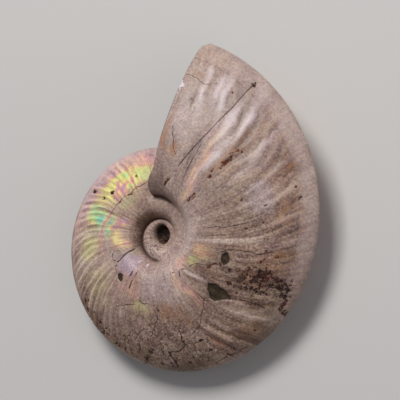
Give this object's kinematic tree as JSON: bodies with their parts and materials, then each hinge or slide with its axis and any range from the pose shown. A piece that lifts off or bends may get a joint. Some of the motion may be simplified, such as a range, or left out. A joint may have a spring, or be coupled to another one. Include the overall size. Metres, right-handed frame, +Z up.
{
  "type": "ammonite",
  "caption": "Fossil ammonite shell, a flat coiled spiral with fine ribs and a narrow outer edge, lying on its flank with its mouth filled by hardened sediment.",
  "frame": {"origin": "centre of the bounding box's bottom face, on the surface that the fossil lies on", "axes": "+Z up, out of the flank that faces up; +Y along the shell's longest extent, towards the mouth's outer tip; +X towards the widest part of the last whorl"},
  "size_m": [0.1086, 0.1274, 0.0382],
  "materials": {
    "fossil_shell": "satin"
  },
  "bodies": {
    "root": {"ammonite": "fossil_shell"}
  },
  "joints": []
}
